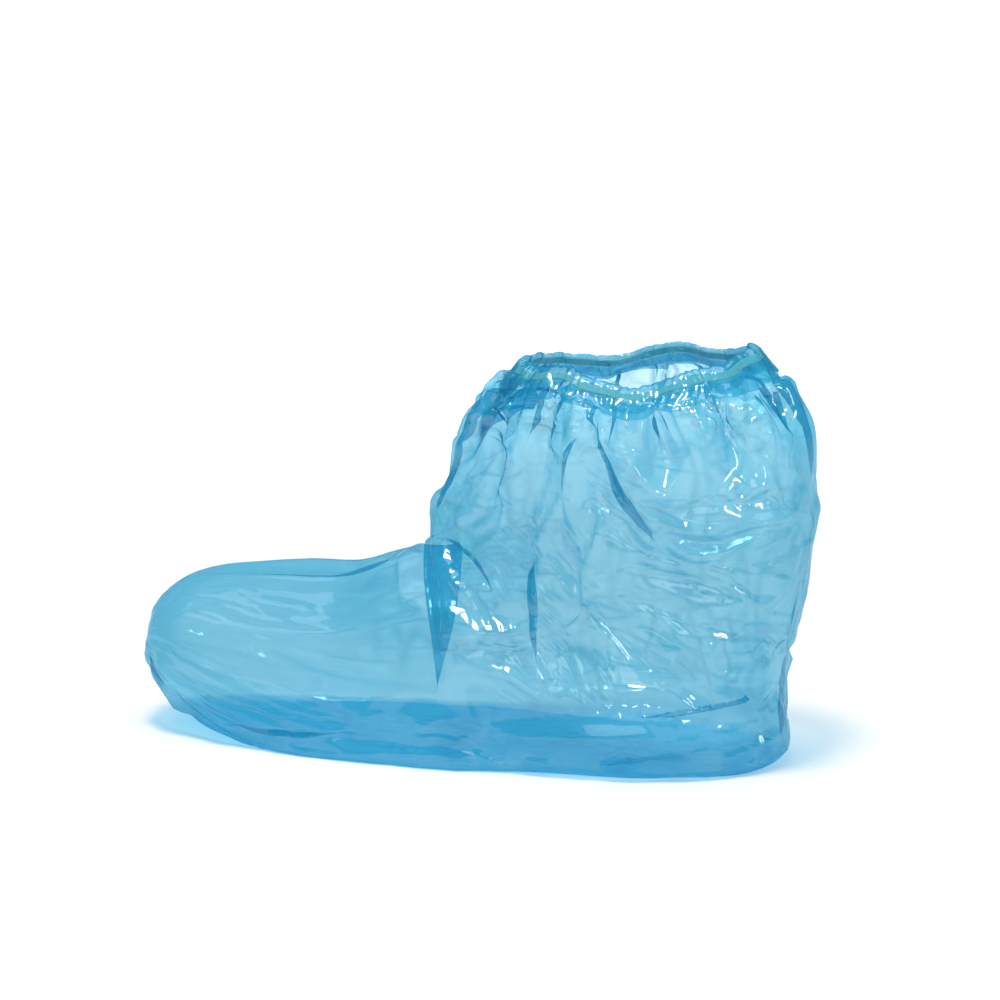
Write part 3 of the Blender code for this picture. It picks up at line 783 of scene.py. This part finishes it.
def film_grid():
    """The film's smooth rows from the toe's tip to inside the hem, the number of the first
    one above the pleat, and the hem's line."""
    hem = hem_line()
    foot = [section_loop(row)[0] for row in between_sections(FOOT_SECTIONS, FOOT_FINENESS)]
    ankle = [section_loop(row)[0] for row in between_sections(ANKLE_SECTIONS, ANKLE_FINENESS)]
    knots = [foot[-1 - FOOT_FINENESS], foot[-1]] + pleat_loops() + [ankle[0], ankle[2]]
    pleat = smooth_between(knots, PLEAT_FINENESS, 0.7)
    tight = fine_gathers(AROUND)
    top = hem_loop(hem, 0.2 + 1.2 * tight, -ELASTIC_HEIGHT / 2 - PIECE_GAP)
    entry = hem_loop(hem, 0.5 + tight, -CASING_OUTER_LEG - 1.5)
    ends = [ankle[-1 - ANKLE_FINENESS], ankle[-1], entry, top, 2 * top - entry]
    collar = smooth_between(ends, HEM_FINENESS, 0.9)
    upper = even_rows(ankle[:-1] + collar + [top], ANKLE_ROWS)
    for turn in range(ROW_SMOOTHING):
        upper[12:-6] += 0.25 * (upper[11:-7] + upper[13:-5] - 2 * upper[12:-6])
    smooth = np.concatenate([np.array(foot[:-1] + pleat), upper])
    first = len(foot) - 1 + len(pleat)
    smooth[:, :, 2] = np.maximum(smooth[:, :, 2], LOWEST)
    return smooth, first, hem


def wall_fade(smooth, first):
    """Where folds may stand on the side walls: away from the pleat, hem, roof and floor."""
    hem = len(smooth) - first
    index = np.arange(len(smooth)) - first
    before = ease(-index, PLEAT_SPAN, PLEAT_SPAN + 12)
    fade = np.where(index < 0, before, ease(index, 3, 24))
    fade = fade * (1 - ease(index, hem - HEM_CLEAR, hem - 6))
    wall = ease(np.abs(smooth[:, :, 1]) / 40.0, 0.25, 0.8)
    return fade[:, None] * wall * ease(smooth[:, :, 2], 2.0, 9.0)


def film_shape():
    """The film gathered, settled, creased along its folds and lapped at its tucks."""
    smooth, first, hem = film_grid()
    normals = surface_normals(smooth)
    index = (np.arange(len(smooth)) - first)[:, None]
    top = len(smooth) - first
    ankle_only = ease(index, 0, 30) * (1 - ease(index, top - HEM_CLEAR, top - 3))
    gathered = smooth + normals * (gather_heights(smooth, hem) * ankle_only)[..., None]
    film = crumpled(gathered, first)
    fade = wall_fade(smooth, first)
    below = hem[None, :, 2] - CASING_OUTER_LEG - smooth[:, :, 2]
    moved = fold_heights(smooth) * fade + roof_heights(smooth) + crease_heights(smooth, first)
    pleats = hem_pleats(smooth.shape[:2], np.maximum(below, 0)) * away_from_shine(smooth)
    moved += HEM_PLEAT_HEIGHT * pleats * ankle_only
    film = film + normals * moved[..., None]
    film = tucked(smooth, film, fade)
    film[:, :, 2] = np.maximum(film[:, :, 2], LOWEST)
    return film, crinkling(film, smooth, first)


def crinkling(film, smooth, first):
    """How finely the film is crinkled: little on the toe, most under the hem."""
    index = (np.arange(len(film)) - first)[:, None]
    y, z = smooth[:, :, 1], smooth[:, :, 2]
    below = smooth[-1][None, :, 2] - z
    amount = 0.02 + 0.9 * ease(index, -75, 5) + 0.5 * (1 - ease(below, 6, 45))
    far_toe = ease(index, -85, -55) * (1 - ease(index, -20, 0)) * ease(y, 0, 20)
    amount = amount + 0.7 * far_toe
    patches = ease(value_noise(film.shape[:2], (22, 17), 41), -1.0, 1.0)
    amount = amount * (0.35 + patches) * away_from_shine(smooth)
    calm = 0.9 * ease(y, 20, 42)
    sole = (1 - ease(z, 1, 24)) * (1 - calm)
    return np.maximum(amount * (1 - calm * (1 - ease(z, 12, 26))), 0.45 * sole)


def grid_mesh(name, grid, closed_tip):
    """A mesh through the grid's closed loops, with a fan over the first one."""
    bm = bmesh.new()
    rings = [[bm.verts.new(point * MM) for point in loop] for loop in grid]
    for first, second in zip(rings, rings[1:]):
        for i in range(len(first)):
            j = (i + 1) % len(first)
            bm.faces.new((first[i], first[j], second[j], second[i]))
    if closed_tip:
        tip = bm.verts.new(np.mean(grid[0], axis=0) * MM)
        for i in range(len(rings[0])):
            bm.faces.new((rings[0][(i + 1) % len(rings[0])], rings[0][i], tip))
    mesh = bpy.data.meshes.new(name)
    bm.normal_update()
    bm.to_mesh(mesh)
    bm.free()
    return mesh


def new_piece(name, mesh, material):
    """A shaded object of the mesh."""
    obj = bpy.data.objects.new(name, mesh)
    scene.collection.objects.link(obj)
    mesh.materials.append(material)
    mesh.shade_smooth()
    return obj


def feed(tree, node, inputs):
    """Set a node's inputs to values, or join them to the outputs of other nodes."""
    for socket, value in inputs.items():
        if isinstance(value, bpy.types.NodeSocket):
            tree.links.new(value, node.inputs[socket])
        else:
            node.inputs[socket].default_value = value


def add_node(tree, kind, inputs, **settings):
    """A new node with its settings and inputs."""
    node = tree.nodes.new("ShaderNode" + kind)
    for name, value in settings.items():
        setattr(node, name, value)
    feed(tree, node, inputs)
    return node


def calc(tree, operation, *values):
    """The result of one step of arithmetic."""
    return add_node(tree, "Math", dict(enumerate(values)), operation=operation).outputs[0]


def noise_node(tree, vector, scale, detail=1):
    """Soft noise from 0 to 1."""
    inputs = {"Vector": vector, "Scale": scale, "Detail": detail}
    return add_node(tree, "TexNoise", inputs).outputs["Fac"]


def long_noise(tree, place, pattern):
    """Noise that runs long along the axes in which the pattern squeezes it."""
    squeeze, scale = pattern
    squeezed = add_node(tree, "Mapping", {"Vector": place, "Scale": squeeze})
    return noise_node(tree, squeezed.outputs["Vector"], scale)


def crest_lines(tree, noise, width):
    """Thin lines, 1 on the crest and 0 off it, where the noise passes its middle."""
    off = calc(tree, "ABSOLUTE", calc(tree, "SUBTRACT", noise, 0.5))
    off = calc(tree, "MULTIPLY", off, 1.0 / width)
    return calc(tree, "SUBTRACT", 1.0, calc(tree, "MINIMUM", off, 1.0))


def object_place(tree):
    """The place on the piece, in metres."""
    return add_node(tree, "TexCoord", {}).outputs["Object"]


def new_material(name):
    """A new material with its node tree and its shader."""
    material = bpy.data.materials.new(name)
    material.use_nodes = True
    tree = material.node_tree
    return material, tree, tree.nodes["Principled BSDF"]


def film_relief(tree, place, upright, level, lines, crinkle):
    """The height of the film's facets, crease lines, ripples and beads."""
    height = add_node(tree, "SeparateXYZ", {"Vector": place}).outputs["Z"]
    inputs = {"Value": height, "From Min": LEVEL_TO, "From Max": UPRIGHT_FROM}
    high = add_node(tree, "MapRange", inputs).outputs["Result"]
    low = calc(tree, "SUBTRACT", 1.0, high)
    facets = calc(tree, "MULTIPLY", calc(tree, "PINGPONG", upright, FACET_FOLD), high)
    level_facets = calc(tree, "PINGPONG", level, FACET_FOLD)
    facets = calc(tree, "MULTIPLY_ADD", level_facets, low, facets)
    lines = calc(tree, "MULTIPLY", lines, LINE_RELIEF)
    relief = calc(tree, "MULTIPLY_ADD", facets, FACET_RELIEF, lines)
    ripples = calc(tree, "MULTIPLY", long_noise(tree, place, RIPPLES), high)
    relief = calc(tree, "MULTIPLY_ADD", ripples, RIPPLE_RELIEF, relief)
    relief = calc(tree, "MULTIPLY", relief, crinkle)
    beads = noise_node(tree, place, BEAD_SCALE, 0)
    return calc(tree, "MULTIPLY_ADD", beads, BEAD_RELIEF, relief)


def film_material(name, body, haze):
    """Glossy see-through film: tinted clear, a little haze, crinkled finely."""
    material, tree, shader = new_material(name)
    place = object_place(tree)
    crinkle = add_node(tree, "Attribute", {}, attribute_name="crinkle").outputs["Fac"]
    upright = long_noise(tree, place, UPRIGHT_FACETS)
    level = long_noise(tree, place, LEVEL_FACETS)
    crests = crest_lines(tree, upright, UPRIGHT_LINE), crest_lines(tree, level, LEVEL_LINE)
    lines = calc(tree, "MULTIPLY", calc(tree, "MAXIMUM", *crests), crinkle)
    relief = film_relief(tree, place, upright, level, lines, crinkle)
    inputs = {"Strength": 1.0, "Distance": MM, "Height": relief}
    normal = add_node(tree, "Bump", inputs).outputs["Normal"]
    rough = calc(tree, "MULTIPLY_ADD", level, 0.10, 0.02)
    gloss = {"Base Color": (*body, 1), "IOR": FILM_IOR, "Normal": normal, "Roughness": rough}
    feed(tree, shader, gloss)

    turned = add_node(tree, "LayerWeight", {"Blend": 0.5, "Normal": normal}).outputs["Facing"]
    slant = calc(tree, "SUBTRACT", 1.0, turned)
    slant = calc(tree, "MAXIMUM", slant, STEEPEST)
    through = {"Color": (*FILM_TINT, 1), "Gamma": calc(tree, "DIVIDE", 1.0, slant)}
    through = add_node(tree, "Gamma", through).outputs["Color"]
    clear = add_node(tree, "BsdfTransparent", {"Color": through}).outputs["BSDF"]
    solid = calc(tree, "POWER", turned, 4.0)
    solid = calc(tree, "MULTIPLY_ADD", solid, EDGE_DEPTH, haze)
    solid = calc(tree, "MULTIPLY_ADD", lines, LINE_DEPTH, solid)
    film = {"Fac": solid, 1: clear, 2: shader.outputs["BSDF"]}
    film = add_node(tree, "MixShader", film).outputs["Shader"]
    shade = [t * (1 - haze) + b * haze for t, b in zip(FILM_TINT, body)]
    lamp = add_node(tree, "BsdfTransparent", {"Color": (*shade, 1)}).outputs["BSDF"]
    shadow = add_node(tree, "LightPath", {}).outputs["Is Shadow Ray"]
    rays = add_node(tree, "MixShader", {"Fac": shadow, 1: film, 2: lamp})
    feed(tree, tree.nodes["Material Output"], {"Surface": rays.outputs["Shader"]})
    return material


def crumpled(folded, first):
    """The folded film with spare length, settled."""
    rows, cols = folded.shape[:2]
    index = np.arange(rows)[:, None] * np.ones((1, cols))
    z = folded[:, :, 2]
    below = folded[-1][None, :, 2] - z
    ankle = ease(index, first - 6, first + 24)
    along = SPARE * (0.06 + 0.94 * ankle)
    around = SPARE * (0.10 + 0.90 * ankle) + GATHERED_SPARE * (1 - ease(below, 4, 60)) * ankle
    hold = np.where(index < first, HOLD * TOE_FIRMER, HOLD)
    pleat = (index >= first - PLEAT_SPAN - 2) & (index < first + 3)
    hold = np.where(pleat & (z > 4), PLEAT_HOLD, hold)
    hold = np.where(z < 0.5, SOLE_HOLD, hold)
    hold = np.maximum(hold, SHINE_HOLD * (1 - away_from_shine(folded)))
    hold[:2] = PLEAT_HOLD
    hold[-10:] = HEM_HOLD
    hold[-4:] = 1.0
    return settle(folded, along, around, hold)


def write_crinkle(mesh, amounts):
    """Write how crinkled each point is, for the film's material."""
    crinkle = mesh.attributes.new("crinkle", "FLOAT", "POINT")
    crinkle.data.foreach_set("value", amounts.astype(np.float32))


def build_film():
    """The boot-shaped bag of film."""
    film, amount = film_shape()
    mesh = grid_mesh("bag_film", film, closed_tip=True)
    write_crinkle(mesh, np.append(amount.ravel(), amount[0, 0]))
    obj = new_piece("bag_film", mesh, film_material("blue_film", FILM_BODY, FILM_HAZE))
    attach(obj, "root")
    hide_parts("film_bag")


def finer(loop, count):
    """The closed loop with more points, on smooth curves."""
    waves = np.fft.rfft(loop, axis=0)
    return np.fft.irfft(waves, n=count, axis=0) * (count / len(loop))


def build_hem():
    """The gathered casing: film folded over the elastic, crinkled all round."""
    hem = finer(hem_line(), CASING_AROUND)
    inside = ELASTIC_THICKNESS / 2 + PIECE_GAP
    roof = ELASTIC_HEIGHT / 2 + PIECE_GAP
    outer, over, inner = 16, 5, 12
    shape = (outer + over + inner, CASING_AROUND)
    crests = sharp_noise(shape, (3, 46), 21)
    dents = value_noise(shape, (4, 60), 23)
    ragged = value_noise((2, CASING_AROUND), (1, 34), 24)[0]
    places, heights = zigzag(CASING_AROUND, CASING_PLEATS, 25, 0.2)
    closed = np.concatenate([places - CASING_AROUND, places, places + CASING_AROUND])
    strayed = np.arange(CASING_AROUND) + 7 * value_noise(shape, (3, 30), 26)
    pleats = 0.5 + 0.5 * np.interp(strayed, closed, np.tile(heights, 3))
    loops = []
    for k in range(outer):
        share = k / outer
        rise = -CASING_OUTER_LEG + share * (roof + CASING_OUTER_LEG)
        rise = rise + ragged * 1.6 * (1 - share)
        puff = 0.25 + (1 - 0.5 * share) * (1.9 * pleats[k] + 0.9 * crests[k])
        puff = puff + 0.25 * (1 + dents[k])
        loops.append(hem_loop(hem, inside + puff, rise))
    for k in range(over):
        turn = np.pi * (k + 0.5) / over
        row = outer + k
        puff = 0.25 + 0.9 * pleats[row] + 0.5 * crests[row] + 0.2 * (1 + dents[row])
        out = (inside + puff * 0.7) * np.cos(turn)
        loops.append(hem_loop(hem, out, roof + puff * np.sin(turn)))
    for k in range(inner):
        share = (k + 1) / inner
        row = outer + over + k
        rise = roof - share * (roof + CASING_INNER_LEG) + ragged[::-1] * share
        puff = 0.2 + pleats[row] + 0.5 * crests[row] + 0.2 * (1 + dents[row])
        loops.append(hem_loop(hem, -inside - puff, rise))
    mesh = grid_mesh("hem_band", loops, closed_tip=False)
    write_crinkle(mesh, (0.9 + 0.5 * dents).ravel())
    obj = new_piece("hem_band", mesh, film_material("hem_film", HEM_BODY, HEM_HAZE))
    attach(obj, "root")
    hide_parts("hem_casing")


def elastic_material():
    """Matt olive rubber elastic with a fine bumpy grain."""
    material, tree, shader = new_material("olive_elastic")
    place = object_place(tree)
    shades = {
        "Factor": noise_node(tree, place, 120, 3),
        "A": (0.58, 0.62, 0.48, 1),
        "B": (0.66, 0.69, 0.54, 1),
    }
    shade = add_node(tree, "Mix", shades, data_type="RGBA").outputs["Result"]
    ribs = {"Distance": 0.0003, "Height": noise_node(tree, place, 900, 0)}
    normal = add_node(tree, "Bump", ribs).outputs["Normal"]
    feed(tree, shader, {"Base Color": shade, "Roughness": 0.7, "Normal": normal})
    return material


def build_elastic():
    """The flat elastic ring inside the casing."""
    hem = finer(hem_line(), CASING_AROUND)
    rises = np.linspace(-ELASTIC_SHARE, ELASTIC_SHARE, 9) * ELASTIC_HEIGHT
    loops = [hem_loop(hem, ELASTIC_THICKNESS / 2, rise) for rise in rises]
    mesh = grid_mesh("elastic_ring", loops, closed_tip=False)
    obj = new_piece("elastic_ring", mesh, elastic_material())
    wall = obj.modifiers.new("wall", "SOLIDIFY")
    wall.thickness = ELASTIC_THICKNESS * MM
    wall.offset = -1.0
    bpy.ops.object.select_all(action="DESELECT")
    bpy.context.view_layer.objects.active = obj
    obj.select_set(True)
    bpy.ops.object.modifier_apply(modifier=wall.name)
    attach(obj, "root")
    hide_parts("elastic_band")


def area_light(name, place, target, size, power):
    """A soft lamp at a place, turned to its target."""
    light = bpy.data.lights.new(name, "AREA")
    light.shape = "RECTANGLE"
    light.size, light.size_y = size
    light.energy = power
    obj = bpy.data.objects.new(name, light)
    obj.location = place
    obj.rotation_euler = (Vector(target) - Vector(place)).to_track_quat("-Z", "Y").to_euler()
    scene.collection.objects.link(obj)


def seen_directly(tree, seen, other):
    """A strength that is one value for what the camera sees and another for the light."""
    path = add_node(tree, "LightPath", {}).outputs["Is Camera Ray"]
    return calc(tree, "MULTIPLY_ADD", path, seen - other, other)


def floor_material():
    """Matt white, brighter away from the piece so that the floor has no edge."""
    material, tree, shader = new_material("floor_white")
    off = add_node(tree, "VectorMath", {0: object_place(tree)}, operation="LENGTH")
    reach = {"Value": off.outputs["Value"], "From Min": 0.3, "From Max": 1.2}
    reach = add_node(tree, "MapRange", reach, interpolation_type="SMOOTHSTEP").outputs["Result"]
    white = {
        "Base Color": (0.93, 0.93, 0.93, 1),
        "Roughness": 0.9,
        "Specular IOR Level": 0.0,
        "Emission Color": (1, 1, 1, 1),
        "Emission Strength": calc(tree, "MULTIPLY", reach, seen_directly(tree, 0.9, 0.1)),
    }
    feed(tree, shader, white)
    return material


def build_stage():
    """A plain white floor under soft studio light."""
    bpy.ops.object.select_all(action="DESELECT")
    bpy.ops.mesh.primitive_circle_add(
        vertices=96, radius=14, fill_type="NGON", location=(0, 0, FLOOR_HEIGHT)
    )
    floor = bpy.context.object
    floor.name = "floor"
    floor.data.materials.append(floor_material())
    world = scene.world or bpy.data.worlds.new("studio")
    scene.world = world
    world.use_nodes = True
    tree = world.node_tree
    glow = {"Color": (1, 1, 1, 1), "Strength": seen_directly(tree, 1.0, WORLD_LIGHT)}
    feed(tree, tree.nodes["Background"], glow)
    area_light("overhead", (-0.2, 0.25, 1.7), (-0.05, 0, 0.0), (1.8, 1.3), 12)
    area_light("high", (-0.1, -0.45, 1.8), (-0.05, 0, 0.08), (0.40, 0.36), 21)
    area_light("side", (1.4, -0.9, 0.9), (0.0, 0, 0.08), (0.10, 0.7), 8)
    area_light("fill", (0.3, -2.2, 1.4), (0.0, 0, 0.08), (1.4, 0.9), 8)


def build_camera():
    """The camera at the photo's angle."""
    camera = bpy.data.cameras.new("camera")
    camera.lens = CAMERA_LENS
    camera.sensor_width = 36
    obj = bpy.data.objects.new("camera", camera)
    obj.location = CAMERA_PLACE
    around, above = np.radians(CAMERA_AROUND), np.radians(CAMERA_ABOVE)
    level = np.cos(above)
    back = Vector((np.sin(around) * level, -np.cos(around) * level, np.sin(above)))
    obj.rotation_euler = (-back).to_track_quat("-Z", "Y").to_euler()
    scene.collection.objects.link(obj)
    scene.camera = obj


build_film()
build_hem()
build_elastic()
build_stage()
build_camera()

scene.view_settings.view_transform = "Standard"
scene.cycles.transparent_max_bounces = 48
scene.cycles.max_bounces = 6
scene.cycles.diffuse_bounces = 2
scene.cycles.glossy_bounces = 2
